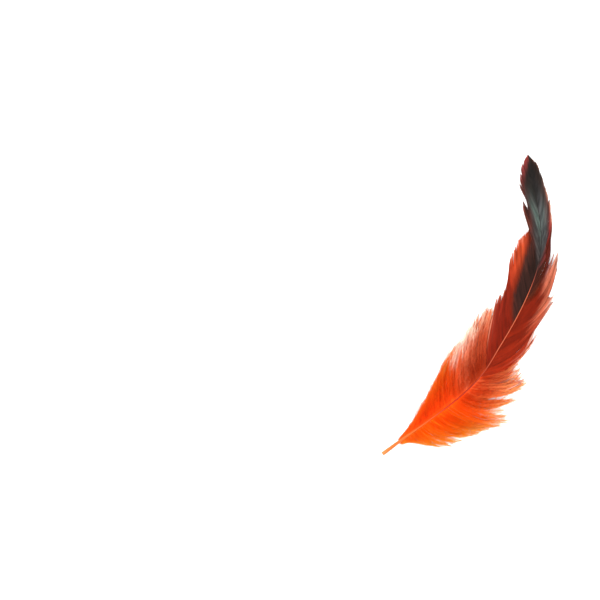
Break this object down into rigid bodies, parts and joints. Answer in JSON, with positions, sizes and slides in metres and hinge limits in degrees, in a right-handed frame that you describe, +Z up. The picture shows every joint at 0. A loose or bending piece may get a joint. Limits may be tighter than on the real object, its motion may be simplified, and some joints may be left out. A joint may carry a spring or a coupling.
{
  "type": "rooster feather",
  "caption": "Dyed rooster tail feather lying on a surface, with a bare quill, loose orange down, long soft vanes and a dark tip that rolls over.",
  "frame": {"origin": "middle of the feather's box, on the surface that it lies on", "axes": "+Z up from the surface, +Y along the feather's longest side from the quill end towards the tip, +X across it"},
  "size_m": [0.0792, 0.1353, 0.0057],
  "materials": {
    "feather": "soft dyed feather, orange down, rust vanes and a dark glossy tip"
  },
  "bodies": {
    "root": {"feather": "feather"}
  },
  "joints": []
}
